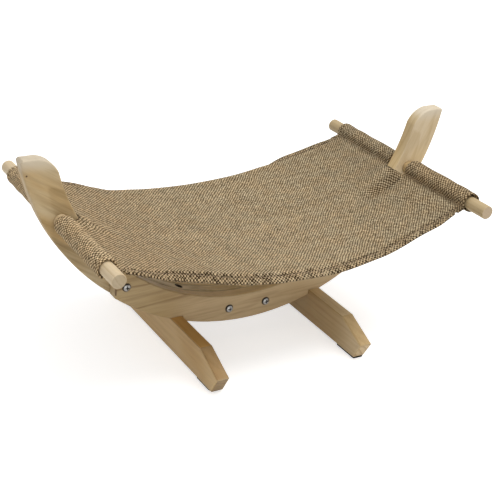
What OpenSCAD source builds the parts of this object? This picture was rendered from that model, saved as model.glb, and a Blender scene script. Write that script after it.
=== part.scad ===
// Cat hammock: a cloth slung on two dowels between the horns of a three-layer wooden arc on two feet.
// X runs along the hammock, Y from front to back, Z up from the floor.
// The origin is at the middle of the base.

/* [Arc] */
// Height of the arc's lowest point above the floor
arc_low = 24; // [20:1:36]
// Radius of the convex underside
outer_r = 311; // [306:1:325]
// Width of the boards at the middle of the arc
board_w = 37; // [32:1:42]
// Width that the boards would reach a quarter turn up the arc
horn_w = 44; // [40:1:50]
// Thickness of each of the three layers
board_t = 18; // [15:1:22]
// Length of the front and rear plates from end to end
plate_len = 386; // [370:1:400]
// Radius of the eased edges on every board
arris_r = 2; // [1:0.25:3]

/* [Horn tips] */
// Height of the level top of each horn
tip_z = 282; // [274:1:290]
// Rounding of the corner that faces the cloth
tip_inner_r = 34; // [26:1:38]
// Depth to which the outer corner is cut back
tip_cut = 3; // [1.5:0.25:5]

/* [Feet] */
// Distance of each foot's centre line from the middle
foot_x = 106; // [98:1:116]
// Thickness of each foot
foot_t = 18; // [15:1:22]
// Length of each foot from nose to nose
foot_len = 314; // [300:1:340]
// Length of the bevel on top at each end
foot_bevel = 48; // [36:1:60]
// Length of the undercut below each nose
foot_undercut = 14; // [8:1:22]
// Height of the noses above the floor
foot_nose_z = 26; // [20:1:32]
// Depth to which the feet are let into the arc on their outer side
seat_depth = 1.2; // [0.8:0.1:4]

/* [Pads] */
// Length of each anti-slip pad
pad_len = 41; // [30:1:50]
// Width of each pad
pad_w = 15; // [11:1:17]
// Thickness of each pad
pad_t = 2.5; // [1.5:0.25:4]

/* [Dowels] */
// Diameter of the dowels
dowel_d = 18; // [15:0.5:22]
// Length of the dowels
dowel_len = 360; // [340:1:400]
// Height of the dowels' axes above the floor
dowel_z = 200; // [190:1:210]
// Chamfer on the dowels' ends
dowel_chamfer = 1; // [0.5:0.25:2]

/* [Cloth] */
// Width of the cloth along the sleeves, from front to rear
cloth_w = 296; // [280:1:320]
// Distance by which each edge stands out further halfway along
edge_bulge = 7; // [0:0.5:10]
// Distance of the cloth's middle behind the arc's middle
cloth_shift = 1; // [-4:0.5:8]
// Thickness of the cloth
cloth_t = 2.4; // [1.6:0.2:3]
// Depth of the sag below the sleeve seams, along the middle
sag = 55; // [45:1:62]
// Rise of the tighter edges above the middle, halfway along
edge_rise = 15.5; // [0:0.5:24]
// Width of the hems along the front and rear edges
hem_w = 15.5; // [10:0.5:22]
// Angle by which the hems turn down, halfway along
hem_turn = 70; // [0:5:80]
// Distance of each sleeve seam from the sleeve's own round
seam_reach = 2.2; // [1.6:0.2:6]
// Length sewn flat under the sheet beyond each seam
seam_allowance = 10; // [6:1:14]
// Gap at the slots between the cloth and each face of the horn
slot_gap = 11; // [4:0.5:14]
// Height by which the cloth rides up the horn at the end of each slot
slot_lift = 10; // [0:0.5:12]

/* [Screws] */
// Diameter of the screws' shanks
screw_d = 4.5; // [3.5:0.25:5]
// Diameter of the screws' heads
head_d = 9.5; // [8:0.25:11]
// Height of the screws' heads
head_h = 3.2; // [2.5:0.1:4]
// Depth to which the plate screws bite into the rear plate
plate_bite = 12; // [8:1:14]
// Distance of the inner plate screws from the middle
inner_screw_x = 28; // [20:1:40]
// Distance of the outer plate screws from the middle
outer_screw_x = 178; // [170:1:182]
// Distance of the foot screws' counterbores from the middle, on the concave edge
foot_screw_x = 91; // [87:1:94]
// Lean of the foot screws from upright
foot_screw_lean = 19; // [15:1:23]
// Depth of the foot screws' counterbores
counterbore_depth = 9; // [6:1:12]
// Length of the foot screws below their heads
foot_screw_len = 42; // [36:1:46]

/* [Hidden] */

pine = "burlywood";
pale_pine = "wheat";
jute = "tan";
steel = "silver";
black_rubber = "dimgray";

// Clearances
dowel_fit = 0.05;
screw_fit = 0.05;
head_gap = 0.6;
seat_gap = 0.3;
sleeve_gap = 0.4;
layer_gap = 0.3;
slot_end_gap = 1;
// Overlap of the horn tips' rounding with the edges that it joins
tip_blend = 0.4;
// Overrun of every cut past the faces that it goes through
over = 5;
// Small details of the screws
recess_w = 1.3;
recess_len = 5.2;
recess_depth = 1.7;
dome_r = 9;
tip_len = 5;
tip_r = 0.6;
// Rounding of the pads' corners
pad_corner_r = 2;
// Reach of the lift at the slots, along and across the cloth
lift_len = 34;
lift_half = 20;

// The two arcs' centres lie above the middle of the base
inner_r = outer_r - horn_w;
outer_cz = arc_low + outer_r;
inner_cz = arc_low + board_w + inner_r;
function outer_x_at(z) = sqrt(pow(outer_r, 2) - pow(outer_cz - z, 2));
function inner_x_at(z) = sqrt(pow(inner_r, 2) - pow(inner_cz - z, 2));
function outer_z_at(x) = outer_cz - sqrt(pow(outer_r, 2) - pow(x, 2));
function inner_z_at(x) = inner_cz - sqrt(pow(inner_r, 2) - pow(x, 2));
function mid_z_at(x) = (outer_z_at(x) + inner_z_at(x)) / 2;

// Box that holds the whole object, for cuts that reach right across
far = outer_r + outer_cz;

// Layers: the horns in the middle, a plate on each side
stack_t = 3 * board_t;
front_y = -stack_t / 2;

foot_base_len = foot_len - 2 * foot_undercut;
// The seat is level with the arc at the foot's outer side, plus the let-in depth
seat_z = outer_z_at(foot_x + foot_t / 2) + seat_depth;

dowel_r = dowel_d / 2;
dowel_x = (outer_x_at(dowel_z) + inner_x_at(dowel_z)) / 2;

// Sleeve: a loop round the dowel, closed by the seam on its inner lower side
seam_angle = 20;
loop_steps = 10;
loop_sweep = 255;
sheet_steps = 14;
sleeve_r = dowel_r + sleeve_gap + cloth_t / 2;
seam_x = dowel_x - (sleeve_r + seam_reach) * cos(seam_angle);
seam_z = dowel_z - (sleeve_r + seam_reach) * sin(seam_angle);
sheet_slope = atan(2 * sag / seam_x);
// Inner end of the allowance: one cloth below the seam, then inwards along the sheet
allowance_drop = cloth_t + layer_gap;
allowance_x = seam_x + allowance_drop * sin(sheet_slope);
allowance_z = seam_z - allowance_drop * cos(sheet_slope);

function sheet_z(x) = seam_z - sag * (1 - pow(x / seam_x, 2));
// The slot ends where the lifted sheet's underside would meet the horn's inner edge; a few passes settle it
function slot_end(x, passes) = passes == 0 ? x
    : slot_end(inner_x_at(sheet_z(x) + slot_lift - cloth_t) - slot_end_gap, passes - 1);
slot_x = slot_end(seam_x, 8);
slot_half = board_t / 2 + slot_gap;

// Shapes that repeat

// Outline of a board's edge: flat up to reach, t thick, its two corners eased
function eased_edge(reach, t, deep) = concat(
    [[-t / 2, -deep], [t / 2, -deep]],
    [for (a = [0:30:90]) [t / 2 - arris_r + arris_r * cos(a), reach - arris_r + arris_r * sin(a)]],
    [for (a = [90:30:180]) [arris_r - t / 2 + arris_r * cos(a), reach - arris_r + arris_r * sin(a)]]);

// Outline of a hollow edge: the cut widens by the eased radius at both faces of the board
function flared_edge(reach, t) = concat(
    [[-t / 2 - over, 0], [t / 2 + over, 0], [t / 2 + over, reach + arris_r]],
    [for (a = [0:30:90]) [t / 2 - arris_r + arris_r * cos(a), reach + arris_r - arris_r * sin(a)]],
    [for (a = [90:30:180]) [arris_r - t / 2 + arris_r * cos(a), reach + arris_r - arris_r * sin(a)]],
    [[-t / 2 - over, reach + arris_r]]);

function turned(points) = [for (p = points) [p[1], p[0]]];

// Disc about the Y axis, with the outline's reach as its radius
module disc(points) {
    rotate([90, 0, 0])
        rotate_extrude($fn = 180)
            polygon(turned(points));
}

// Half-space as thick as a board, bounded by an eased side that faces the given angle above +X
module half_space(reach, angle) {
    rotate([0, -angle, 0])
        rotate([0, 0, -90])
            linear_extrude(height = far, center = true)
                polygon(eased_edge(reach, board_t, far));
}

// Ring of one layer of the arc, centred on Y = 0
module arc_layer() {
    difference() {
        translate([0, 0, outer_cz])
            disc(eased_edge(outer_r, board_t, 0));
        translate([0, 0, inner_cz])
            disc(flared_edge(inner_r, board_t));
    }
}

// What lies outside a rounded corner at the upper left of a centre, above the given height:
// a block less the eased round
module corner_waste(x, z, r, low) {
    block = 2 * (r + over);
    difference() {
        translate([x - block, -block / 2, low])
            cube(block);
        translate([x, 0, z])
            disc(eased_edge(r, board_t, 0));
    }
}

// Pan head with a cross recess, on a shank that points down from its seat at the origin
module screw(len) {
    difference() {
        intersection() {
            cylinder(h = head_h, d = head_d, $fn = 48);
            translate([0, 0, head_h - dome_r])
                sphere(r = dome_r, $fn = 48);
        }
        for (a = [0, 90])
            rotate([0, 0, a])
                translate([-recess_len / 2, -recess_w / 2, head_h - recess_depth])
                    cube([recess_len, recess_w, recess_depth + over]);
    }
    translate([0, 0, tip_len - len])
        cylinder(h = len - tip_len, d = screw_d, $fn = 32);
    translate([0, 0, -len])
        cylinder(h = tip_len, r1 = tip_r, d2 = screw_d, $fn = 32);
}

// Hole for a screw's shank, from over above its seat to its tip
module screw_hole(len) {
    translate([0, 0, -len])
        cylinder(h = len + over, r = screw_d / 2 + screw_fit, $fn = 32);
}

// Places that several pieces share

module at_plate_screw(x) {
    translate([x, front_y, mid_z_at(x)])
        rotate([90, 0, 0])
            children();
}

plate_screw_len = 2 * board_t + plate_bite;
plate_screw_xs = [-outer_screw_x, -inner_screw_x, inner_screw_x, outer_screw_x];

module plate_screw_holes() {
    for (x = plate_screw_xs)
        at_plate_screw(x)
            screw_hole(plate_screw_len);
}

// The seat of the head at the bottom of a foot screw's counterbore, on the right
module at_foot_screw() {
    translate([foot_screw_x, 0, inner_z_at(foot_screw_x)])
        rotate([0, -foot_screw_lean, 0])
            translate([0, 0, -counterbore_depth])
                children();
}

// Room for the two feet, cut level into the underside of the arc
module foot_seats() {
    for (s = [-1, 1])
        translate([s * foot_x - foot_t / 2 - seat_gap, front_y - over, -over])
            cube([foot_t + 2 * seat_gap, stack_t + 2 * over, seat_z + over]);
}

// Wooden pieces

module right_horn_board() {
    // The round stands proud of the top and of the inner edge by the blend, so that it crosses them cleanly
    round_z = tip_z + tip_blend - tip_inner_r;
    round_reach = inner_r - tip_blend + tip_inner_r;
    round_x = sqrt(pow(round_reach, 2) - pow(inner_cz - round_z, 2));
    round_low = inner_cz - (inner_cz - round_z) * inner_r / round_reach;
    corner = [outer_x_at(tip_z), tip_z];
    corner_angle = 45 - atan((outer_cz - tip_z) / corner[0]) / 2;
    difference() {
        intersection() {
            arc_layer();
            half_space(tip_z, 90);
            translate([0, -far / 2, 0])
                cube(far);
        }
        corner_waste(round_x, round_z, tip_inner_r, round_low);
        rotate([0, -corner_angle, 0])
            translate([corner * [cos(corner_angle), sin(corner_angle)] - tip_cut, -far / 2, -far / 2])
                cube(far);
        translate([dowel_x, 0, dowel_z])
            rotate([90, 0, 0])
                cylinder(h = board_t + over, r = dowel_r + dowel_fit, center = true, $fn = 64);
        plate_screw_holes();
        foot_seats();
        at_foot_screw()
            cylinder(h = counterbore_depth + over, r = head_d / 2 + head_gap, $fn = 48);
        at_foot_screw()
            screw_hole(foot_screw_len);
    }
}

module right_horn() {
    color(pale_pine)
        right_horn_board();
}

module left_horn() {
    color(pale_pine)
        mirror([1, 0, 0])
            right_horn_board();
}

module plate(y) {
    color(pine)
        difference() {
            translate([0, y, 0])
                intersection() {
                    arc_layer();
                    half_space(plate_len / 2, 0);
                    half_space(plate_len / 2, 180);
                    translate([-far / 2, -far / 2, -far])
                        cube([far, far, far + inner_cz]);
                }
            plate_screw_holes();
            foot_seats();
        }
}

module front_plate() {
    plate(-board_t);
}

module rear_plate() {
    plate(board_t);
}

// Foot: a board on edge whose six sides are eased half-spaces, in the plane X = foot_x
module right_foot_board() {
    mid_z = (pad_t + seat_z) / 2;
    top = [foot_len / 2 - foot_bevel, seat_z - mid_z];
    nose = [foot_len / 2, foot_nose_z - mid_z];
    base = [foot_base_len / 2, pad_t - mid_z];
    bevel_angle = atan(foot_bevel / (seat_z - foot_nose_z));
    under_angle = -atan(foot_undercut / (foot_nose_z - pad_t));
    // Each side: the direction that it faces and a point on it
    sides = [[90, top], [-90, base],
        for (s = [1, -1])
            for (side = [[bevel_angle, nose], [under_angle, nose]])
                [s > 0 ? side[0] : 180 - side[0], [s * side[1][0], side[1][1]]]];
    difference() {
        translate([foot_x, 0, mid_z])
            intersection_for (side = sides)
                rotate([side[0], 0, 0])
                    linear_extrude(height = far, center = true)
                        polygon(eased_edge(side[1] * [cos(side[0]), sin(side[0])], foot_t, far));
        at_foot_screw()
            screw_hole(foot_screw_len);
    }
}

module right_foot() {
    color(pine)
        right_foot_board();
}

module left_foot() {
    color(pine)
        mirror([1, 0, 0])
            right_foot_board();
}

module dowel(s) {
    half = dowel_len / 2;
    color(pale_pine)
        translate([s * dowel_x, 0, dowel_z])
            rotate([90, 0, 0])
                rotate_extrude($fn = 96)
                    polygon([[0, -half], [dowel_r - dowel_chamfer, -half], [dowel_r, dowel_chamfer - half],
                        [dowel_r, half - dowel_chamfer], [dowel_r - dowel_chamfer, half], [0, half]]);
}

module left_dowel() {
    dowel(-1);
}

module right_dowel() {
    dowel(1);
}

// Fasteners and pads

module plate_screw(x) {
    color(steel)
        at_plate_screw(x)
            screw(plate_screw_len);
}

module left_outer_plate_screw() {
    plate_screw(plate_screw_xs[0]);
}

module left_inner_plate_screw() {
    plate_screw(plate_screw_xs[1]);
}

module right_inner_plate_screw() {
    plate_screw(plate_screw_xs[2]);
}

module right_outer_plate_screw() {
    plate_screw(plate_screw_xs[3]);
}

module right_foot_screw() {
    color(steel)
        at_foot_screw()
            screw(foot_screw_len);
}

module left_foot_screw() {
    color(steel)
        mirror([1, 0, 0])
            at_foot_screw()
                screw(foot_screw_len);
}

// Flat pad with round corners, its outer end flush with the end of the foot's underside
module pad(sx, sy) {
    color(black_rubber)
        translate([sx * foot_x, sy * (foot_base_len - pad_len) / 2, 0])
            linear_extrude(height = pad_t) {
                square([pad_w, pad_len - 2 * pad_corner_r], center = true);
                square([pad_w - 2 * pad_corner_r, pad_len], center = true);
                for (x = [-1, 1])
                    for (y = [-1, 1])
                        translate([x * (pad_w / 2 - pad_corner_r), y * (pad_len / 2 - pad_corner_r)])
                            circle(r = pad_corner_r, $fn = 32);
            }
}

module left_front_pad() {
    pad(-1, -1);
}

module left_rear_pad() {
    pad(-1, 1);
}

module right_front_pad() {
    pad(1, -1);
}

module right_rear_pad() {
    pad(1, 1);
}

// Cloth

// Direction from the dowel's axis in which a line from point p touches the loop, above or below
function touch_angle(p, side, r) = let (d = p - [dowel_x, dowel_z])
    atan2(d[1], d[0]) - side * acos(r / norm(d));

// The cloth's middle line in the XZ plane, from the middle of the sheet to the end of the right allowance
function right_tail() = let (
    // The straight facets of the loop touch the sleeve's radius
    r = sleeve_r / cos(loop_sweep / loop_steps / 2),
    from = touch_angle([seam_x, seam_z], 1, r) + (seam_z < dowel_z ? 360 : 0),
    to = touch_angle([allowance_x, allowance_z], -1, r))
    concat(
        [for (k = [0:loop_steps]) let (a = from + (to - from) * k / loop_steps)
            [dowel_x + r * cos(a), dowel_z + r * sin(a)]],
        [[allowance_x, allowance_z],
            [allowance_x - seam_allowance * cos(sheet_slope),
                allowance_z - seam_allowance * sin(sheet_slope)]]);

function mirrored(points) = [for (k = [len(points) - 1:-1:0]) [-points[k][0], points[k][1]]];

sheet_xs = concat([-seam_x, -(seam_x + slot_x) / 2],
    [for (k = [0:sheet_steps]) slot_x * (2 * k / sheet_steps - 1)],
    [(seam_x + slot_x) / 2, seam_x]);
tail = right_tail();
path = concat(mirrored(tail), [for (x = sheet_xs) [x, sheet_z(x)]], tail);
first_sheet = len(tail);
last_sheet = len(tail) + len(sheet_xs) - 1;

// Stations across the cloth: where each stands, and its share of the hems' turn.
// The hems start at the crests, and the outermost stations are their free edges.
side_shares = [0.62, 0.28];
crest_half = cloth_w / 2 - hem_w;
front_crest = cloth_shift - crest_half;
rear_crest = cloth_shift + crest_half;
stations = concat([[front_crest, -1], [front_crest, -0.5]],
    [for (k = [0:1]) [-slot_half + side_shares[k] * (front_crest + slot_half), 0]],
    [[-slot_half, 0], [0, 0], [slot_half, 0]],
    [for (k = [1:-1:0]) [slot_half + side_shares[k] * (rear_crest - slot_half), 0]],
    [[rear_crest, 0.5], [rear_crest, 1]]);
ys = [for (s = stations) s[0]];

// The cross forms fade out towards the straight sleeves
function fade(x) = max(0, 1 - pow(x / seam_x, 2));
function rise_at(x, y) = edge_rise * fade(x) * pow((y - cloth_shift) / crest_half, 2);
function spread_y(x, y) = cloth_shift + (y - cloth_shift) * (1 + edge_bulge * fade(x) / crest_half);

// Unit normal to the left of the path, lengthened at a bend so that the cloth keeps its thickness
function unit(v) = v / norm(v);
function left_of(v) = [-v[1], v[0]];
function path_normal(i) = let (
    before = unit(path[max(i, 1)] - path[max(i, 1) - 1]),
    after = unit(path[min(i, len(path) - 2) + 1] - path[min(i, len(path) - 2)]),
    mean = unit(before + after))
    left_of(mean) / (mean * after);

// Lift of the cloth where it rides up the horns, which ends at the seams
function lift(i, y) = i < first_sheet || i > last_sheet ? 0
    : let (
        x = abs(path[i][0]),
        hold = x < slot_x ? 1 : (seam_x - x) / (seam_x - slot_x))
        slot_lift * hold * exp(-pow((slot_x - x) / lift_len, 2) - pow(y / lift_half, 2));

function in_slot(i, j) = (i < first_sheet + 2 || i >= last_sheet - 2)
    && ys[j] >= -slot_half && ys[j + 1] <= slot_half;
function has_cell(i, j) = i >= 0 && j >= 0 && i < len(path) - 1 && j < len(ys) - 1 && !in_slot(i, j);
function corner(i, j, side) = 2 * (i * len(ys) + j) + side;
function quad(a, b, c, d) = [[a, b, c], [a, c, d]];

// The two faces of one cell of the cloth, and a wall at each of its sides that no other cell joins
function cell_faces(i, j) = let (
    near = [corner(i, j, 0), corner(i, j, 1)],
    across = [corner(i, j + 1, 0), corner(i, j + 1, 1)],
    along = [corner(i + 1, j, 0), corner(i + 1, j, 1)],
    both = [corner(i + 1, j + 1, 0), corner(i + 1, j + 1, 1)])
    concat(
        quad(near[0], across[0], both[0], along[0]),
        quad(near[1], along[1], both[1], across[1]),
        has_cell(i - 1, j) ? [] : quad(near[0], near[1], across[1], across[0]),
        has_cell(i + 1, j) ? [] : quad(along[0], both[0], both[1], along[1]),
        has_cell(i, j - 1) ? [] : quad(near[0], along[0], along[1], near[1]),
        has_cell(i, j + 1) ? [] : quad(across[0], across[1], both[1], both[0]));

// A corner of the cloth at place i along the path and station s, on the upper (1) or lower (-1) side.
// Its height is measured along the path's normal; at a crest the two sides are mitred.
function cloth_point(i, s, side) = let (
    x = path[i][0],
    turn = hem_turn * fade(x) * s[1],
    mitre = abs(s[1]) < 1 ? cos(turn) : 1,
    out = abs(s[1]) < 1 ? 0 : hem_w,
    half = side * cloth_t / 2,
    y = spread_y(x, s[0]) + sign(s[1]) * out * cos(turn) + half * sin(turn) / mitre,
    up = half * cos(turn) / mitre - out * sin(abs(turn)),
    n = path_normal(i))
    [x + up * n[0], y, path[i][1] + up * n[1] + rise_at(x, s[0]) + lift(i, s[0])];

module hammock_cloth() {
    points = [for (i = [0:len(path) - 1])
        for (s = stations)
            for (side = [1, -1])
                cloth_point(i, s, side)];
    faces = [for (i = [0:len(path) - 2])
        for (j = [0:len(ys) - 2])
            if (has_cell(i, j))
                each cell_faces(i, j)];
    color(jute)
        polyhedron(points, faces);
}

left_horn();
right_horn();
front_plate();
rear_plate();
left_foot();
right_foot();
left_dowel();
right_dowel();
hammock_cloth();
left_outer_plate_screw();
left_inner_plate_screw();
right_inner_plate_screw();
right_outer_plate_screw();
left_foot_screw();
right_foot_screw();
left_front_pad();
left_rear_pad();
right_front_pad();
right_rear_pad();
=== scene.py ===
import math

import bpy
import numpy as np
from mathutils import Matrix, Vector


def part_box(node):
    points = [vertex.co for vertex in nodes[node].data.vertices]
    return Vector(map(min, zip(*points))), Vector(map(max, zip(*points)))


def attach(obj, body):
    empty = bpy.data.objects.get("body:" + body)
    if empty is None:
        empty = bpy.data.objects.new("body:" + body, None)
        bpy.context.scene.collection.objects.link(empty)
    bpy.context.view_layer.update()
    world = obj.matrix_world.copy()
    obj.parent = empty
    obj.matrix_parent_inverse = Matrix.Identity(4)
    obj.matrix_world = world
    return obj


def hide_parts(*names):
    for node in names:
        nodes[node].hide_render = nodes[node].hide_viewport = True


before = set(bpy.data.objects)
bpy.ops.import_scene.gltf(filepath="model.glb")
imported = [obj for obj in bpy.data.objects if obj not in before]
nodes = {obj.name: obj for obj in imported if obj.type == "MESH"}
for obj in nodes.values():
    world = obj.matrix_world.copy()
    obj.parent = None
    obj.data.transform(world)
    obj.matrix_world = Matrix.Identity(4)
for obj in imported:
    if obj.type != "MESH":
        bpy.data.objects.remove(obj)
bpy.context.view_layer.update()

mm = 0.001


# Camera and studio

cameraLook = {
    "place": (-0.7148, -1.1889, 0.7649),
    "azimuth": -31.52,  # degrees, 0 looks along +Y
    "elevation": 25.14,
    "roll": 4.23,
    "lens": 82.79,
    "sensor": 36.0,
    "clipStart": 0.05,
}


# The camera's axes: back points from the object to the camera, and right and up turn about it by the roll
def addCamera(look):
    a, e, r = (math.radians(look[k]) for k in ("azimuth", "elevation", "roll"))
    back = np.array([math.sin(a) * math.cos(e), -math.cos(a) * math.cos(e), math.sin(e)])
    level = np.array([math.cos(a), math.sin(a), 0.0])
    over = np.cross(back, level)
    right = math.cos(r) * level + math.sin(r) * over
    up = math.cos(r) * over - math.sin(r) * level
    made = bpy.data.objects.new("camera", bpy.data.cameras.new("camera"))
    made.data.lens = look["lens"]
    made.data.sensor_width = look["sensor"]
    made.data.clip_start = look["clipStart"]
    axes = np.eye(4)
    axes[:3, :4] = np.column_stack([right, up, back, look["place"]])
    made.matrix_world = Matrix(axes.tolist())
    bpy.context.scene.collection.objects.link(made)
    bpy.context.scene.camera = made


# Shader maths: a Field is one output of a shader tree, and sums and products of Fields add Math nodes
class Field:
    def __init__(self, tree, socket=None):
        self.tree = tree
        self.socket = socket

    # Any node: its settings first, then the values or links of its inputs, by name or number
    def node(self, kind, settings=None, inputs=None, out=0):
        made = self.tree.nodes.new(kind)
        for key, value in (settings or {}).items():
            setattr(made, key, value)
        for key, value in (inputs or {}).items():
            if isinstance(value, Field):
                self.tree.links.new(value.socket, made.inputs[key])
            else:
                made.inputs[key].default_value = value
        return Field(self.tree, made.outputs[out])

    # A Math node: its operation and its values
    def maths(self, operation, *values):
        return self.node("ShaderNodeMath", {"operation": operation}, dict(enumerate(values)))

    def __add__(self, other):
        return self.maths("ADD", self, other)

    def __sub__(self, other):
        return self.maths("SUBTRACT", self, other)

    def __rsub__(self, other):
        return self.maths("SUBTRACT", other, self)

    def __mul__(self, other):
        return self.maths("MULTIPLY", self, other)

    def __truediv__(self, other):
        return self.maths("DIVIDE", self, other)

    def __pow__(self, other):
        return self.maths("POWER", self, other)

    def __abs__(self):
        return self.maths("ABSOLUTE", self)

    __radd__ = __add__
    __rmul__ = __mul__

    # 0 below low, 1 above high, and smooth between them
    def rise(self, low, high):
        ends = {"Value": self, "From Min": low, "From Max": high}
        return self.node("ShaderNodeMapRange", {"interpolation_type": "SMOOTHSTEP"}, ends)

    # The first colour where share is 0, the second where it is 1; or the first multiplied by the second there
    def mixed(self, share, first, second, blend="MIX"):
        settings = {"data_type": "RGBA", "blend_type": blend}
        return self.node("ShaderNodeMix", settings, {0: share, 6: first, 7: second}, 2)

    # A Vector Math node: out is 0 for a vector and 1 for a number
    def vector(self, operation, *values, out=0):
        return self.node("ShaderNodeVectorMath", {"operation": operation}, dict(enumerate(values)), out)

    # X, Y and Z of a vector
    def split(self):
        made = self.tree.nodes.new("ShaderNodeSeparateXYZ")
        self.tree.links.new(self.socket, made.inputs[0])
        return [Field(self.tree, s) for s in made.outputs]

    # Noise at a place, its value or, with out as 1, its colour
    def noise(self, place, scale, detail, out=0, **others):
        sockets = {"Vector": place, "Scale": scale, "Detail": detail, **others}
        return self.node("ShaderNodeTexNoise", inputs=sockets, out=out)

    # A random number for each whole number
    def random(self, number):
        return self.node("ShaderNodeTexWhiteNoise", {"noise_dimensions": "1D"}, {"W": number})

    # Relief of a height, for the Normal socket
    def bump(self, height, strength, distance, **others):
        sockets = {"Strength": strength, "Distance": distance, "Height": height, **others}
        return self.node("ShaderNodeBump", inputs=sockets)


# A new material, with its tree as an empty Field and the sockets of its shader
def newMaterial(name):
    made = bpy.data.materials.new(name)
    made.use_nodes = True
    tree = made.node_tree
    return made, Field(tree), tree.nodes["Principled BSDF"].inputs


# Links a Field to a socket of its own tree
def wire(field, socket):
    field.tree.links.new(field.socket, socket)


studioLook = {
    "floorHalf": 4.0,  # metres
    "floorColour": (0.82, 0.82, 0.82, 1),
    "floorRoughness": 0.9,
    "floorSpecular": 0.1,
    "floorGlow": 0.58,  # seen by the camera only, so that the bare floor is white
    "dome": 0.7,  # the sky as a light
    "aim": (0, 0, 0.12),
    "lamps": {  # place, power in watts, width in metres
        "keyLamp": ((0.5, -0.4, 1.85), 21.0, 1.3),
        "frontLamp": ((-0.5, -2.2, 0.5), 5.0, 1.6),
    },
}


# 1 for the rays that look at the background: straight, in a reflection or through glass
def backgroundRay(field):
    kinds = ("Is Camera Ray", "Is Glossy Ray", "Is Transmission Ray")
    path = field.tree.nodes.new("ShaderNodeLightPath")
    straight, mirrored, through = (Field(field.tree, path.outputs[k]) for k in kinds)
    return field.maths("MAXIMUM", field.maths("MAXIMUM", straight, mirrored), through)


# A square floor that glows for the camera
def addFloor(look):
    half = look["floorHalf"]
    corners = [(-half, -half, 0), (half, -half, 0), (half, half, 0), (-half, half, 0)]
    mesh = bpy.data.meshes.new("floor")
    mesh.from_pydata(corners, [], [(0, 1, 2, 3)])
    floor = bpy.data.objects.new("floor", mesh)
    bpy.context.scene.collection.objects.link(floor)
    paint, field, shader = newMaterial("paleFloor")
    shader["Base Color"].default_value = look["floorColour"]
    shader["Roughness"].default_value = look["floorRoughness"]
    shader["Specular IOR Level"].default_value = look["floorSpecular"]
    shader["Emission Strength"].default_value = look["floorGlow"]
    wire(field.mixed(backgroundRay(field), (0, 0, 0, 1), (1, 1, 1, 1)), shader["Emission Color"])
    mesh.materials.append(paint)


# A white sky, dimmer as a light than as a background, and lamps that point at the object
def addLight(look):
    scene = bpy.context.scene
    scene.world = scene.world or bpy.data.worlds.new("studio")
    scene.world.use_nodes = True
    background = scene.world.node_tree.nodes["Background"].inputs
    background["Color"].default_value = (1, 1, 1, 1)
    seen = backgroundRay(Field(scene.world.node_tree))
    wire(seen + (1 - seen) * look["dome"], background["Strength"])
    for name, (place, power, width) in look["lamps"].items():
        lamp = bpy.data.lights.new(name, "AREA")
        lamp.energy = power
        lamp.shape = "DISK"
        lamp.size = width
        made = bpy.data.objects.new(name, lamp)
        facing = (Vector(look["aim"]) - Vector(place)).to_track_quat("-Z", "Y")
        made.matrix_world = Matrix.Translation(place) @ facing.to_matrix().to_4x4()
        scene.collection.objects.link(made)
    scene.view_settings.view_transform = "Standard"


addCamera(cameraLook)
addFloor(studioLook)
addLight(studioLook)
print("camera and studio set")


# Wood

hornLook = {
    "pale": (0.60, 0.48, 0.31, 1),
    "line": (0.40, 0.28, 0.13, 1),  # colour of the growth lines
    "blush": (0.53, 0.385, 0.195, 1),  # colour of the warm patches
    "ringGap": 7 * mm,
    "lineShare": 0.5,  # how dark the lines are
    "lineStart": 0.4,  # share of a ring after which its line begins
    "bandShare": 0.9,  # how much the soft bands change the colour
    "paleTip": (0.262, 0.281),  # heights between which the tip turns paler
}
leftHornLook = {
    **hornLook,
    "pale": (0.52, 0.405, 0.24, 1),
    "line": (0.25, 0.165, 0.065, 1),
    "blush": (0.45, 0.295, 0.12, 1),
    "bandShare": 1.9,
    "grainShare": 1.0,
    "lineShare": 0.36,
    "turn": (3, -33, 2),  # degrees that bring the grain to X
    "pith": (0.052, 0.03),  # place of the rings' centre, once turned, in Z and Y
    "knot": (-0.2987, 0.2629, 1.1 * mm),  # place in X and Z, and radius
    "holeShades": {"left_foot_screw": 0.9 * mm},  # painted shade in the screw's counterbore: screws, and how far past the head the wood is dark
}
rightHornLook = {
    **hornLook,
    "pale": (0.57, 0.455, 0.295, 1),
    "bandShare": 1.2,
    "faces": {"upperInside": (0.93, 0.89, 0.77, 1)},  # painted shade: what the colour of a face is multiplied by, for how the light falls on it
    "endTint": (2, 0.205, 0.238, (1.17, 1.15, 1.09, 1)),  # painted light, lighter low down by the cloth: axis, where it is full and where it ends, factor
    "turn": (-4, 64, 1.5),
    "pith": (-0.122, -0.036),
    # painted shade in the screw's counterbore
    "holeShades": {"right_foot_screw": 0.9 * mm},
}
plateLook = {
    "pale": (0.54, 0.396, 0.221, 1),
    "line": (0.25, 0.15, 0.065, 1),
    "blush": (0.46, 0.32, 0.16, 1),
    "ringGap": 7 * mm,
    "lineShare": 0.7,
    "lineStart": 0.7,
    "bandShare": 0.75,
    "grainShare": 1.0,
    "lineFade": (-0.09, -0.02),  # between these X the growth lines grow faint
}
frontPlateLook = {
    **plateLook,
    "turn": (0, 2.5, -2.0),
    "pith": (0.046, 0.1),
    # painted shadow round the screw heads
    "holeShades": {n: 1.6 * mm for n in nodes if n.endswith("_plate_screw")},
    # darker towards the left end
    "endTint": (0, -0.14, -0.07, (0.86, 0.86, 0.8, 1)),
    "gapShadow": ((-0.1922, -0.0262, 0.0995), 1.3 * mm, 4.5 * mm),  # painted shadow in the gap at the left end: place, half width and height
}
rearPlateLook = {**plateLook, "turn": (0, -1.5, 2.5), "pith": (-0.05, 0.07)}
footLook = {
    "pale": (0.55, 0.405, 0.215, 1),
    "line": (0.34, 0.21, 0.085, 1),
    "blush": (0.46, 0.30, 0.125, 1),
    "ringGap": 6.5 * mm,
    "lineShare": 0.22,
    "lineStart": 0.3,
    "bandShare": 0.6,
    "turn": (0, 1.5, -90),
    "edgeRadius": 4 * mm,
    "worn": (0.64, 0.51, 0.32, 1),  # along the edges
}
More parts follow.
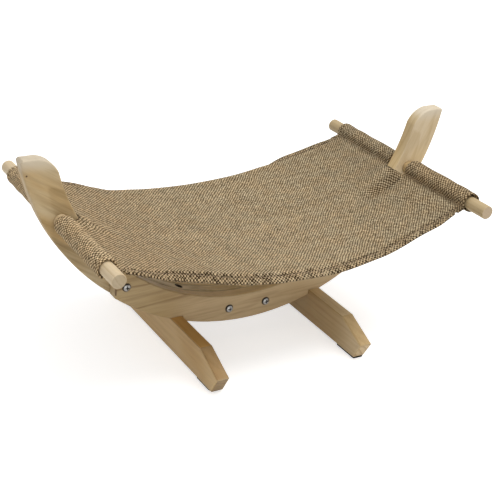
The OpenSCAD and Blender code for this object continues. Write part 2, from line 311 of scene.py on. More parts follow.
leftFootLook = {
    **footLook,
    "pith": (0.13, 0.065),
    # painted light and shade: what each face's colour is multiplied by, for how the light falls on it
    "faces": {
        "top": (1.08, 0.87, 0.54, 1),
        "bevel": (0.62, 0.54, 0.47, 1),
        "nose": (0.55, 0.54, 0.52, 1),
        "sideEnds": (1.2, 1.3, 1.55, 1),
        "sideMiddle": (1.02, 0.96, 0.88, 1),
    },
}
rightFootLook = {
    **footLook,
    "pith": (-0.15, 0.06),
    # painted light and shade: what each face's colour is multiplied by, for how the light falls on it
    "faces": {
        "top": (1.4, 1.5, 1.7, 1),
        "bevel": (0.85, 0.78, 0.64, 1),
        "nose": (1.0, 1.02, 1.08, 1),
        "sideEnds": (1.15, 1.22, 1.4, 1),
        "sideMiddle": (0.91, 0.87, 0.82, 1),
    },
}
dowelLook = {
    "ringGap": 4.5 * mm,
    "lineShare": 0.5,
    "lineStart": 0.25,
    "bandShare": 0.5,
    "turn": (0, 0, -90),
}
leftDowelLook = {
    **dowelLook,
    "pale": (0.63, 0.50, 0.325, 1),
    "line": (0.46, 0.335, 0.18, 1),
    "blush": (0.57, 0.43, 0.25, 1),
    "pith": (0.25, 0.185),
    "ends": ((0.05, 0.04, 0.028, 1), 0.34),  # a colour, and how much of it is on the sawn ends
}
rightDowelLook = {
    **dowelLook,
    "pale": (0.44, 0.335, 0.185, 1),
    "line": (0.35, 0.24, 0.115, 1),
    "blush": (0.42, 0.29, 0.135, 1),
    "pith": (-0.24, 0.19),
    "ends": ((0.47, 0.357, 0.26, 1), 0.5),
}
insideLook = {  # the arc's concave edge; its tint is painted light, lighter where the cloth shades it
    "tint": (1.42, 1.39, 1.2, 1),
    "centre": (0, 0, 0.335),
    "below": (0.10, 0.14),  # heights between which it ends
    "lineLoss": 0.6,
}
faceLook = {  # between which parts of the normal along an axis a face is told apart
    "square": (0.9, 0.97),
    "bevelStart": (0.6, 0.75),
    "bevelEnd": (0.88, 0.96),
    "nose": (0.7, 0.8),
    "inside": (0.9, 0.98),
    "upperInside": (0.7, 0.9),
    "footEnds": (0.085, 0.15),  # between these distances from the middle of a foot
}
grainLook = {  # of every board and rod
    "bend": (0.22, 16, 2),  # noises: stretch along the grain, scale and detail
    "fibre": (0.03, 900, 3),
    "patch": (0.3, 22, 3),
    "band": (0.1, 85, 2),
    "grain": (0.035, 330, 2),
    "bendReach": 22 * mm,
    "lineFull": 0.9,  # share of a ring at which its line is darkest
    "lineStop": (0.93, 1.0),
    "lineBase": 0.35,  # the faintest year's share
    "lineLoss": 0.75,  # where the lines grow faint
    "fibreShare": 0.35,
    "bandMiddle": 0.45,
    "grainMiddle": 0.47,
    "grainShare": 0.7,
    "endLines": (0.3, 0.8),  # end grain: middle of the lines, and share
    "endFibres": 1.2,
    "patchEdge": (0.4, 0.7),
    "bleached": ((0.61, 0.56, 0.47, 1), 0.5),  # of the pale tips: colour and share
    "edgeRadius": 1.8 * mm,
    "edgeFacing": (0.8, 0.995),  # where an edge's rounded normal leaves the face's own
    "wornShare": (0.25, 0.5),  # everywhere, and on patches
    "roughness": (0.5, 0.2, -0.06),  # everywhere, by fibre and by line
    "specular": 0.35,
    "relief": (0.35, 0.4 * mm),  # strength and depth
    "reliefShares": (0.6, 0.4),  # of fibre and line
    "gapShadow": ((0.09, 0.045, 0.018, 1), 0.85),  # painted shadow in a gap: colour and share
    "gapShadowEdges": ((0.6, 1.4), (0.8, 1.0)),  # soft edges, as shares of its half width and height
    "knot": (0.09, 0.05, 0.025, 1),  # colour
    "knotEdges": (0.75, 1.35),  # as shares of its radius
    "holeShade": ((0.03, 0.018, 0.01, 1), 0.9),  # painted shade round and in screw holes: colour and share
    "holeShadeEdge": 0.7 * mm,  # past a screw's head, where the dark is still full
    "sawnEdge": (0.5 * mm, 0.2 * mm),  # before a rod's end
    "bevelSamples": 6,
}


# Distance from a line through a point, and place along it: the part of the offset along the line is its dot
# product with the direction, and their cross product has the length of the rest
def lineDistance(field, place, point, direction):
    offset = field.vector("SUBTRACT", place, point)
    across = field.vector("CROSS_PRODUCT", offset, direction)
    return field.vector("LENGTH", across, out=1), field.vector("DOT_PRODUCT", offset, direction, out=1)


# The points of a CAD node's mesh, as an array
def meshPoints(name):
    found = np.empty(len(nodes[name].data.vertices) * 3)
    nodes[name].data.vertices.foreach_get("co", found)
    return found.reshape(-1, 3)


# A screw's head, the direction it points in and its head's radius: the direction is that in which its points
# spread most, away from the end whose points lie furthest from the axis
def screwAxis(name):
    found = meshPoints(name)
    middle = found.mean(axis=0)
    direction = np.linalg.svd(found - middle, full_matrices=False)[2][0]
    along = (found - middle) @ direction
    wide = np.linalg.norm(np.cross(found - middle, direction), axis=1)
    direction *= -np.sign(along[wide > 0.9 * wide.max()].mean())
    along = (found - middle) @ direction
    return tuple(middle + along.min() * direction), tuple(direction), wide.max()


# Shares of the faces of a foot, told apart by the normal, and of the arc's concave edge, whose normal
# points at the arc's centre: each is 1 on its own face and 0 on the others
def faceShares(field, place, flat):
    sideways, lengthways, upward = flat.split()
    y, z = place.split()[1:]
    ends = abs(y).rise(*faceLook["footEnds"])
    side = abs(sideways).rise(*faceLook["square"])
    inward = field.vector("MULTIPLY", field.vector("SUBTRACT", insideLook["centre"], place), (1, 0, 1))
    inside = field.vector("DOT_PRODUCT", field.vector("NORMALIZE", inward), flat, out=1)
    low = 1 - z.rise(*insideLook["below"])
    return {
        "top": upward.rise(*faceLook["square"]),
        "bevel": upward.rise(*faceLook["bevelStart"]) * (1 - upward.rise(*faceLook["bevelEnd"])),
        "nose": abs(lengthways).rise(*faceLook["nose"]),
        "sideEnds": side * ends,
        "sideMiddle": side * (1 - ends),
        "inside": inside.rise(*faceLook["inside"]) * low,
        "upperInside": inside.rise(*faceLook["upperInside"]) * (1 - low),
    }


# Noise drawn out along the grain: its place along the grain is multiplied by the stretch
def streaks(field, grainPlace, kind):
    along, across, deep = grainPlace
    stretch, scale, detail = grainLook[kind]
    stretched = field.node("ShaderNodeCombineXYZ", inputs={"X": along * stretch, "Y": across, "Z": deep})
    return field.noise(stretched, scale, detail)


# Growth lines: a ring's number is the distance from the pith, which runs along the grain, bent by slow
# noise and divided by the ring gap. Each ring darkens slowly and stops at once, with a strength of its own.
def growthLines(field, grainPlace, look):
    across, deep = grainPlace[1:]
    pithDeep, pithAcross = look["pith"]
    bend = (streaks(field, grainPlace, "bend") - 0.5) * grainLook["bendReach"]
    ring = (((across - pithAcross) ** 2 + (deep - pithDeep) ** 2) ** 0.5 + bend) / look["ringGap"]
    year = field.maths("FLOOR", ring)
    late = ring - year
    line = late.rise(look["lineStart"], grainLook["lineFull"]) * (1 - late.rise(*grainLook["lineStop"]))
    base = grainLook["lineBase"]
    return line, base + (1 - base) * field.random(year)


# The tints of a piece's places, by their shares: its paler tip; painted light and shade on its faces and its
# concave edge, for how the light falls on them; and an end's tint, painted light on the right horn's low part
def tintPine(field, name, look, wood, faces, spot):
    if "paleTip" in look:
        colour, share = grainLook["bleached"]
        wood = field.mixed(spot[2].rise(*look["paleTip"]) * share, wood, colour)
    for face, tint in look.get("faces", {}).items():
        wood = field.mixed(faces[face], wood, tint, "MULTIPLY")
    if name.endswith(("_plate", "_horn")):
        wood = field.mixed(faces["inside"], wood, insideLook["tint"], "MULTIPLY")
    if "endTint" in look:
        axis, full, end, tint = look["endTint"]
        wood = field.mixed(1 - spot[axis].rise(full, end), wood, tint, "MULTIPLY")
    return wood


# The marks of a piece: painted shadow in a gap at its end, sawn ends, a knot and painted shade round each
# screw, by the distance from a line
def markPine(field, name, look, wood, place, spot):
    if "gapShadow" in look:
        point, half, tall = look["gapShadow"]
        colour, share = grainLook["gapShadow"]
        away, up = lineDistance(field, place, point, (0, 0, 1))
        wideEdge, tallEdge = grainLook["gapShadowEdges"]
        gapShadow = 1 - away.rise(*(half * edge for edge in wideEdge))
        gapShadow = gapShadow * (1 - abs(up).rise(*(tall * edge for edge in tallEdge)))
        wood = field.mixed(gapShadow * share, wood, colour)
    if "ends" in look:
        colour, share = look["ends"]
        reach = np.abs(meshPoints(name)[:, 1]).max()
        sawn = abs(spot[1]).rise(*(reach - edge for edge in grainLook["sawnEdge"]))
        wood = field.mixed(sawn * share, wood, colour)
    if "knot" in look:
        knotX, knotZ, radius = look["knot"]
        away = lineDistance(field, place, (knotX, 0, knotZ), (0, 1, 0))[0]
        knot = 1 - away.rise(*(radius * edge for edge in grainLook["knotEdges"]))
        wood = field.mixed(knot, wood, grainLook["knot"])
    for screw, spread in look.get("holeShades", {}).items():
        colour, share = grainLook["holeShade"]
        head, direction, radius = screwAxis(screw)
        away = lineDistance(field, place, head, direction)[0]
        dark = 1 - away.rise(radius + grainLook["holeShadeEdge"], radius + spread)
        wood = field.mixed(dark * share, wood, colour)
    return wood


# Pine: growth lines, fine fibres and soft bands darken the pale wood by the sum of their shares, and warm
# patches lie along the grain. Edges are rounded for the light, and worn where the rounded normal leaves the
# face's own.
def pineMaterial(name, look):
    made, field, shader = newMaterial(name + "Pine")
    place = field.node("ShaderNodeTexCoord", out=3)
    flat = field.node("ShaderNodeNewGeometry", out=1)
    spot = place.split()
    faces = faceShares(field, place, flat)
    turn = tuple(math.radians(t) for t in look["turn"])
    grainPlace = field.node("ShaderNodeMapping", inputs={"Vector": place, "Rotation": turn}).split()
    fibre, patch, band, grain = (streaks(field, grainPlace, k) for k in ("fibre", "patch", "band", "grain"))
    line, strength = growthLines(field, grainPlace, look)
    shown = 1 - insideLook["lineLoss"] * faces["inside"]
    if "lineFade" in look:
        shown = shown * (1 - grainLook["lineLoss"] * spot[0].rise(*look["lineFade"]))
    share = line * shown * strength * look["lineShare"] + (fibre - 0.5) * grainLook["fibreShare"]
    share = share + (band - grainLook["bandMiddle"]) * look["bandShare"]
    share = share + (grain - grainLook["grainMiddle"]) * look.get("grainShare", grainLook["grainShare"])
    if name.endswith("_foot"):
        endMiddle, endShare = grainLook["endLines"]
        endGrain = (line - endMiddle) * endShare + (fibre - 0.5) * grainLook["endFibres"]
        share = share + faces["nose"] * endGrain
    wood = field.mixed(patch.rise(*grainLook["patchEdge"]), look["pale"], look["blush"])
    wood = field.mixed(field.maths("MAXIMUM", share, 0.0), wood, look["line"])
    wood = tintPine(field, name, look, wood, faces, spot)
    wood = markPine(field, name, look, wood, place, spot)
    radius = look.get("edgeRadius", grainLook["edgeRadius"])
    rounded = field.node("ShaderNodeBevel", {"samples": grainLook["bevelSamples"]}, {"Radius": radius})
    worn = 1 - field.vector("DOT_PRODUCT", rounded, flat, out=1).rise(*grainLook["edgeFacing"])
    wornBase, wornPatch = grainLook["wornShare"]
    wood = field.mixed(worn * (wornBase + wornPatch * patch), wood, look.get("worn", look["pale"]))
    wire(wood, shader["Base Color"])
    base, byFibre, byLine = grainLook["roughness"]
    wire(base + fibre * byFibre + line * byLine, shader["Roughness"])
    shader["Specular IOR Level"].default_value = grainLook["specular"]
    ofFibre, ofLine = grainLook["reliefShares"]
    wire(field.bump(fibre * ofFibre + line * ofLine, *grainLook["relief"], Normal=rounded), shader["Normal"])
    return made


# Screws

screwLook = {
    "bright": (0.36, 0.35, 0.33, 1),
    "dull": (0.2, 0.195, 0.19, 1),
    "recess": (0.015, 0.014, 0.013, 1),
    "recessR": 2.9 * mm,
    "recessDepth": 0.4 * mm,
    "recessEdge": (0.1 * mm, 0.2 * mm),  # outward and deep
    "rimShade": (0.9 * mm, 0.75),  # painted shade on the side of the head: width of the dark rim, and share
    "wear": (700, 3),  # noise: scale and detail
    "wearEdge": (0.4, 0.75),
    "roughness": (0.25, 0.2),  # everywhere, and by wear
}


# Zinc with fine wear; painted shade darkens the cross recess, near the axis and below the top of the head,
# and the rim of the head
def screwMaterial(name, look):
    made, field, shader = newMaterial(name + "Zinc")
    place = field.node("ShaderNodeTexCoord", out=3)
    wear = field.noise(place, *look["wear"])
    zinc = field.mixed(wear.rise(*look["wearEdge"]), look["bright"], look["dull"])
    head, direction, radius = screwAxis(name)
    away, depth = lineDistance(field, place, head, direction)
    outward, deep = look["recessEdge"]
    dark = depth.rise(look["recessDepth"], look["recessDepth"] + deep)
    dark = dark * (1 - away.rise(look["recessR"] - outward, look["recessR"]))
    rimWidth, rimShare = look["rimShade"]
    zinc = field.mixed(away.rise(radius - rimWidth, radius) * rimShare, zinc, look["recess"])
    wire(field.mixed(dark, zinc, look["recess"]), shader["Base Color"])
    base, byWear = look["roughness"]
    wire(base + wear * byWear, shader["Roughness"])
    shader["Metallic"].default_value = 1.0
    return made


# Gives a CAD node one material
def finishNode(name, material):
    nodes[name].data.materials.clear()
    nodes[name].data.materials.append(material)


woodLooks = {
    "left_horn": leftHornLook,
    "right_horn": rightHornLook,
    "front_plate": frontPlateLook,
    "rear_plate": rearPlateLook,
    "left_foot": leftFootLook,
    "right_foot": rightFootLook,
    "left_dowel": leftDowelLook,
    "right_dowel": rightDowelLook,
}
for woodName, woodLook in woodLooks.items():
    finishNode(woodName, pineMaterial(woodName, woodLook))
for screwName in [n for n in nodes if n.endswith("_screw")]:
    finishNode(screwName, screwMaterial(screwName, screwLook))
print("wood and steel finished")


# Cloth

clothLook = {
    "thickness": 1.3 * mm,
    "pathStep": 2.1 * mm,
    "hemPoints": (14, 9, 6),  # across a hem: on the strip, round the fold and on the part turned under
    "hemSamples": 700,
    "flatPoints": (31, 1.2),  # from a slot to an edge, and how much closer together they are near the slot
    "slotPoints": 13,  # across a slot
    "sag": 55 * mm,
    # Sleeves
    "sleeveThickness": 3.2 * mm,  # doubled
    "sleeveEase": 0.4 * mm,  # between a dowel and its sleeve
    "sleeveSlack": 1.8 * mm,  # more of it at the front right
    "slackEdge": (-4 * mm, 6 * mm),  # from the slot's edge, where the slack begins
    "seamReach": 12.8 * mm,  # from a dowel's axis to its sleeve's seam
    "seamAngle": 20,  # degrees below level
    "seamGap": 0.4 * mm,  # between the sheet and the allowance
    "allowance": 10 * mm,  # sewn flat under the sheet
    "mouthFlare": 0.5 * mm,
    "mouthThickness": 1.5 * mm,
    "mouthThin": (5 * mm, 0.5 * mm),  # before the mouth, where the sleeve thins
    "slotThin": 4 * mm,  # from a slot's edge, where the sleeve is thick again
    "slotFlare": (0.6 * mm, 6 * mm),  # height and reach at the slot's edge
    "ripple": (0.3 * mm, 7.3 * mm, 19 * mm, 9 * mm),  # height, lengths across and along
    "loopStart": 8 * mm,  # lengths over which a sleeve starts and ends
    "loopEnd": 14 * mm,
    # Edges: heights above the middle line, and between which X they change
    "frontRise": 15.5 * mm,  # halfway along
    "rearRise": 13.3 * mm,
    "edgeBulge": 7 * mm,  # further out halfway along
    "frontDrop": 11 * mm,  # where the front edge is slack, on the right
    "frontSlack": (-150 * mm, 70 * mm),
    "frontTaut": ((0.7, 115 * mm, 185 * mm), (0.3, 200 * mm, 245 * mm)),  # shares taken off, and where
    "frontLift": (3 * mm, -155 * mm, 45 * mm),  # where it is tight: height, middle and reach
    "rearLift": (1.2 * mm, 105 * mm, 30 * mm),
    "rearDrop": 3.5 * mm,  # where the rear edge is slack, on the left
    "rearSlack": (-160 * mm, -126 * mm),
    "rearTaut": ((0.35, -127 * mm, -95 * mm), (0.3, -60 * mm, 20 * mm), (0.35, 20 * mm, 100 * mm)),
    # Hems
    "hemWidth": 13.5 * mm,
    "hemUnder": 10 * mm,  # turned under
    "hemFold": 1.6 * mm,  # radius of the fold
    "foldTurn": 1.045 * math.pi,  # a little over half round
    "hemRoll": 6 * mm,  # length over which the hem bends down
    "hemTurn": 72,  # degrees, at most
    "frontTurn": (-220 * mm, -120 * mm),  # between these X the front hem turns down
    "frontReturn": ((0.72, -110 * mm, 30 * mm), (0.2, 30 * mm, 130 * mm)),
    "frontFlat": (150 * mm, 230 * mm),
    "rearFlat": (90 * mm, 160 * mm),
    "rearTurn": (-185 * mm, -95 * mm),
    "foldStop": 4 * mm,  # from the allowance to the end of the turned part
    "foldNarrow": 30 * mm,  # length over which the hem narrows before that
    "stitchIn": 6.5 * mm,  # from the crest to the hem's stitches
    "stitchSink": (0.8 * mm, 1.7 * mm),  # depth and reach
    # Slots
    "slotHalf": 20 * mm,
    "slotNeck": 9.7 * mm,  # half the slot's width at its inner end
    "slotWiden": (3 * mm, 11 * mm),  # past the inner end
    "slotGap": 1.3 * mm,  # between a horn and the slot's inner end
    "slotLift": 10 * mm,  # where the cloth rides up the horn
    "liftLength": 34 * mm,
    "liftHalf": 25 * mm,
    "liftOver": (-4 * mm, 7 * mm),  # about the left seam, where the lift ends
    "flap": 6.5 * mm,  # turned down at the slot's inner end
    "flapSpare": 1 * mm,  # a cell whose middle is nearer to the flap's end is left out
    "valley": 6 * mm,  # in front of the right slot
    "valleyAlong": (12 * mm, 34 * mm),  # middle and reach
    "valleyAcross": (-25 * mm, 9 * mm),
    "leftValley": 0.2,  # share on the left
    "pucker": 0.8 * mm,  # short creases at the slots' corners
    "puckerAt": (3 * mm, -14 * mm),  # past the slot's inner end, and across
    "puckerStart": (1 * mm, 6 * mm),
    "puckerReach": 15 * mm,
    "puckerStop": 8 * mm,  # before the seam
    "rightPucker": 0.6,  # share on the right
    "spokes": (7, 0.8),  # number and turn
    # Small waves all over: height, and lengths and shifts of the two sines
    "wave": 0.45 * mm,
    "waveX": (19 * mm, 1.1, 31 * mm),
    "waveY": (23 * mm, 0.6, 43 * mm),
    "fadeGain": 4,  # how fast waves and lifts come in from the sleeves
}

dowelLow, dowelHigh = (np.array(c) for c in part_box("right_dowel"))
dowelX, dowelZ = ((dowelLow + dowelHigh) / 2)[[0, 2]]
dowelR = (dowelHigh[0] - dowelLow[0]) / 2
cadCloth = meshPoints("hammock_cloth")
sleeveY = cadCloth[cadCloth[:, 0] > dowelX, 1]
sleeveFront, sleeveRear = sleeveY.min(), sleeveY.max()


# The right seam in XZ, at its reach and angle from the dowel's axis
def seamPoint(look):
    angle = math.radians(look["seamAngle"])
    return np.array([dowelX, dowelZ]) - look["seamReach"] * np.array([math.cos(angle), math.sin(angle)])


# Where the sheet meets the right horn's inner edge: the parabola's height, lifted as at the slot, and the
# edge found along a level line at that height, each from the other in turn
def hornReach(look):
    seamX, seamZ = seamPoint(look)
    guess, start, tries = 0.23, 0.15, 5  # first guess and the line's start, in metres
    for attempt in range(tries):
        height = seamZ - look["sag"] * (1 - (guess / seamX) ** 2) + look["slotLift"]
        spot, normal = nodes["right_horn"].ray_cast((start, 0, height), (1, 0, 0))[1:3]
        guess = spot[0] - look["slotGap"]
    return guess, normal


seam = seamPoint(clothLook)
slotX, hornNormal = hornReach(clothLook)


# Smooth step from 0 at low to 1 at high
def ease(value, low, high):
    t = np.clip((value - low) / (high - low), 0, 1)
    return t * t * (3 - 2 * t)


# 1 less each share, taken off smoothly between its two places
def lessened(value, steps):
    return 1 - sum(share * ease(value, low, high) for share, low, high in steps)


# A bell about a middle: e to the minus square of the distance over the reach
def bell(value, middle, reach):
    return np.exp(-(((value - middle) / reach) ** 2))


# Where a straight line from a point touches the circle round the dowel, as an angle: the point's own angle
# less or plus the arc cosine of radius over distance
def touchAngle(point, side, radius):
    away = point - np.array([dowelX, dowelZ])
    return math.atan2(away[1], away[0]) - side * math.acos(radius / np.hypot(*away))


# The right half of the cloth's middle line in XZ, from the middle of the sheet: a parabola to the seam,
# straight to the dowel, round it, straight back under the seam and along the allowance.
# It is sampled finely, rounded by a moving mean and sampled again at even steps.
def rightPath(look):
    fineStep, window, loopPoints, returnShare = 0.2 * mm, 21, 200, 0.7
    slope = math.atan(2 * look["sag"] / seam[0])
    radius = dowelR + look["sleeveEase"] + look["sleeveThickness"] / 2
    below = look["thickness"] + look["seamGap"]
    under = seam + below * np.array([math.sin(slope), -math.cos(slope)])
    last = under - look["allowance"] * np.array([math.cos(slope), math.sin(slope)])
    first = touchAngle(seam, 1, radius) + 2 * math.pi
    turn = np.linspace(first, touchAngle(under, -1, radius), loopPoints)
    x = np.linspace(0, seam[0], 4 * loopPoints)
    sheet = np.column_stack([x, seam[1] - look["sag"] * (1 - (x / seam[0]) ** 2)])
    loop = np.column_stack([dowelX + radius * np.cos(turn), dowelZ + radius * np.sin(turn)])
    corners = np.vstack([sheet, loop, under, last])
    length = np.append(0, np.cumsum(np.hypot(*np.diff(corners, axis=0).T)))
    fine = np.arange(0, length[-1], fineStep)
    line = np.column_stack([np.interp(fine, length, corners[:, k]) for k in (0, 1)])
    mirrored = line[window:0:-1] * [-1, 1]
    onward = np.repeat(line[-1:], window, axis=0) + np.outer(np.arange(1, window + 1), line[-1] - line[-2])
    padded = np.vstack([mirrored, line, onward])
    kernel = np.ones(window) / window
    soft = np.column_stack([np.convolve(padded[:, k], kernel, "same") for k in (0, 1)])[window:-window]
    seamAt = np.argmin(np.hypot(*(line - seam).T))
    steps = np.round(np.linspace(0, len(soft) - 1, int(fine[-1] / look["pathStep"]))).astype(int)
    slotAt = np.argmax(soft[:, 0] >= slotX)
    steps[np.argmin(np.abs(steps - slotAt))] = slotAt  # a row right at the slots' inner ends
    return soft[steps], fine[steps], fine[seamAt], length[len(sheet) + round(returnShare * loopPoints)]


halfPath, halfLength, seamLength, returnLength = rightPath(clothLook)
path = np.vstack([halfPath[:0:-1] * [-1, 1], halfPath])
pathLength = np.append(-halfLength[:0:-1], halfLength)
tangent = np.gradient(path, axis=0)
tangent /= np.hypot(*tangent.T)[:, None]
pathNormal = np.column_stack([-tangent[:, 1], tangent[:, 0]])
onSheet = np.abs(pathLength) <= seamLength
fade = np.where(onSheet, np.maximum(0, 1 - (path[:, 0] / seam[0]) ** 2), 0)
calm = np.clip(clothLook["fadeGain"] * fade, 0, 1)
onLoop = ease(np.abs(pathLength), seamLength, seamLength + clothLook["loopStart"])
onLoop *= 1 - ease(np.abs(pathLength), returnLength, returnLength + clothLook["loopEnd"])

clothMid = (sleeveFront + sleeveRear) / 2
crestHalf = (sleeveRear - sleeveFront) / 2 - clothLook["hemWidth"]
bulge = 1 + clothLook["edgeBulge"] * fade[:, None] / crestHalf
firstLoop = np.searchsorted(halfLength, seamLength)
slotLength = halfLength[np.argmin(np.abs(halfPath[:firstLoop, 0] - slotX))]
toSleeve = ease(np.abs(pathLength), *(slotLength + w for w in clothLook["slotWiden"]))
flatCount, flatPower = clothLook["flatPoints"]
flatShares = np.linspace(0, 1, flatCount) ** flatPower
slotShares = np.linspace(-1, 1, clothLook["slotPoints"])[1:-1]
print("slot ends at", round(slotX, 4), "seam at", seam.round(4), "sleeves", sleeveFront, "to", sleeveRear)


# Cross stations of the flat part for each place along the path. The slots' edges are stations too, and they
# move apart from the slot's narrow inner end to the sleeve.
def flatStations(look):
    slot = (look["slotNeck"] + (look["slotHalf"] - look["slotNeck"]) * toSleeve)[:, None]
    front = -slot + (clothMid - crestHalf + slot) * flatShares
    rear = slot + (clothMid + crestHalf - slot) * flatShares
    return np.hstack([front[:, ::-1], slot * slotShares, rear])


# Stations of a hem, as lengths outward from its crest: the strip, the fold and the part turned under
def hemStations(look):
    onStrip, onFold, onUnder = look["hemPoints"]
    strip = np.linspace(0, look["hemWidth"], onStrip)[1:]
    fold = look["hemWidth"] + np.linspace(0, math.pi * look["hemFold"], onFold)[1:]
    return np.concatenate([strip, fold, fold[-1] + np.linspace(0, look["hemUnder"], onUnder)[1:]])


# How far each edge stands above the middle line: its rise fades towards the sleeves, less a drop where it is
# slack and with a lift where it is tight
def edgeRises(look):
    x = path[:, 0]
    frontLoose = ease(x, *look["frontSlack"]) * lessened(x, look["frontTaut"]) * onSheet
    rearLoose = ease(x, *look["rearSlack"]) * lessened(x, look["rearTaut"]) * onSheet
    frontLift, *frontAt = look["frontLift"]
    rearLift, *rearAt = look["rearLift"]
    front = look["frontRise"] * fade - look["frontDrop"] * frontLoose + frontLift * calm * bell(x, *frontAt)
    rear = look["rearRise"] * fade - look["rearDrop"] * rearLoose + rearLift * calm * bell(x, *rearAt)
    return front, rear


# How far each hem turns down along the cloth, in radians: most left of the middle, least by the sleeves
def hemTurns(look):
    x = path[:, 0]
    front = ease(x, *look["frontTurn"]) * lessened(x, look["frontReturn"]) * (1 - ease(x, *look["frontFlat"]))
    rear = (1 - ease(x, *look["rearFlat"])) * ease(x, *look["rearTurn"])
    return [math.radians(look["hemTurn"]) * share * onSheet for share in (front, rear)]


# Short creases that run out from a slot's corner: a sine of the angle about it, near the corner only
def cornerPucker(look, x, y, length):
    past, across = look["puckerAt"]
    cornerX, cornerY = np.abs(x) - slotX - past, y - across
    count, turn = look["spokes"]
    spokes = np.sin(count * np.arctan2(cornerY, -cornerX) + turn)
    away = np.hypot(cornerX, cornerY)
    near = ease(away, *look["puckerStart"]) * bell(away, 0, look["puckerReach"])
    near = near * (1 - ease(length, seamLength - look["puckerStop"], seamLength))
    return look["pucker"] * near * spokes * np.where(x > 0, look["rightPucker"], 1)


# Height of the sheet above its middle line: the edges rise with the square of the distance from the middle,
# and the cloth rides up the horn at each slot, with a valley in front of it, deepest at the right one. On the
# left the lift runs on over the seam. Small waves keep it from being perfectly smooth.
def sheetHeight(look, x, y):
    frontRise, rearRise = edgeRises(look)
    out = (y - clothMid) / crestHalf
    height = np.where(out < 0, frontRise[:, None], rearRise[:, None]) * out ** 2
    behind = slotX - np.abs(x)
    length = np.abs(pathLength)[:, None]
    bySlot = 1 - ease(length, slotLength, seamLength)
    overSeam = 1 - ease(length, *(seamLength + past for past in look["liftOver"]))
    lift = bell(np.maximum(behind, 0), 0, look["liftLength"]) * bell(y, 0, look["liftHalf"])
    height = height + look["slotLift"] * np.where(x > 0, bySlot, overSeam) * lift
    valley = bell(behind, *look["valleyAlong"]) * bell(y, *look["valleyAcross"])
    height = height - look["valley"] * bySlot * valley * np.where(x > 0, 1, look["leftValley"])
    height = height + cornerPucker(look, x, y, length)
    (lengthX, shiftX, bendX), (lengthY, shiftY, bendY) = look["waveX"], look["waveY"]
    waves = np.sin(x / lengthX + shiftX + np.sin(y / bendX))
    waves = waves * np.sin(y / lengthY + shiftY + np.sin(x / bendY))
    return height + look["wave"] * calm[:, None] * waves


# A hem's cross line: its tangent starts at the sheet's slope, rolls down by the hem's turn, goes just over
# half round at the fold and runs back; positions are running sums of the tangent's cosine and sine.
def hemLine(look, stations, slope, turn):
    fine = np.linspace(0, stations[-1], look["hemSamples"])
    roll = ease(fine, 0, look["hemRoll"])[None, :]
    folded = np.clip((fine - look["hemWidth"]) / (math.pi * look["hemFold"]), 0, 1)[None, :]
    angle = slope[:, None] * (1 - roll) - turn[:, None] * roll - look["foldTurn"] * folded
    step = fine[1] - fine[0]
    sinkDepth, sinkReach = look["stitchSink"]
    groove = bell(fine, look["stitchIn"], sinkReach) * sinkDepth
    out = np.cumsum(np.cos(angle), axis=1) * step + groove * np.sin(angle)
    up = np.cumsum(np.sin(angle), axis=1) * step - groove * np.cos(angle)
    at = np.searchsorted(fine, stations[:-1]).tolist() + [len(fine) - 1]
    return out[:, at], up[:, at]


# What is added along the path's normal on the sleeves: a flare at the mouths and the slots' edges, a ripple
# of sines, and the slack of the front right sleeve
def sleeveSwell(look, y, across, stations):
    mouth = ease(np.minimum(stations, look["hemWidth"]), 0, look["hemWidth"]) * look["mouthFlare"]
    slotFlare, slotReach = look["slotFlare"]
    middle = slotFlare * bell(np.abs(y), look["slotHalf"], slotReach)
    flare = np.hstack([np.tile(mouth[::-1], (len(path), 1)), middle, np.tile(mouth, (len(path), 1))])
    size, waveAcross, bendAcross, waveAlong = look["ripple"]
    ripple = np.sin(across / waveAcross + np.sin(across / bendAcross) + pathLength[:, None] / waveAlong)
    slack = (path[:, :1] > 0) * ease(-across, *(look["slotHalf"] + edge for edge in look["slackEdge"]))
    return onLoop[:, None] * (flare + size * ripple + look["sleeveSlack"] * slack)


# Which cells of the grid are cloth: not those in the slots, apart from the flaps, and not the turned part of
# the hems near the sleeves
def keptCells(look, stations, inSlot, inFlap, foldEnd, width):
    along = np.abs(pathLength[1:] + pathLength[:-1]) / 2
    turned = stations > look["hemWidth"]
    folded = np.concatenate([turned[::-1], np.zeros(width - 1, bool), turned])
    kept = ~((along > slotLength)[:, None] & inSlot) & ~((along > foldEnd)[:, None] & folded)
    hanging = (along > slotLength) & (along < slotLength + look["flap"] - look["flapSpare"])
    return kept | (hanging[:, None] & inFlap)


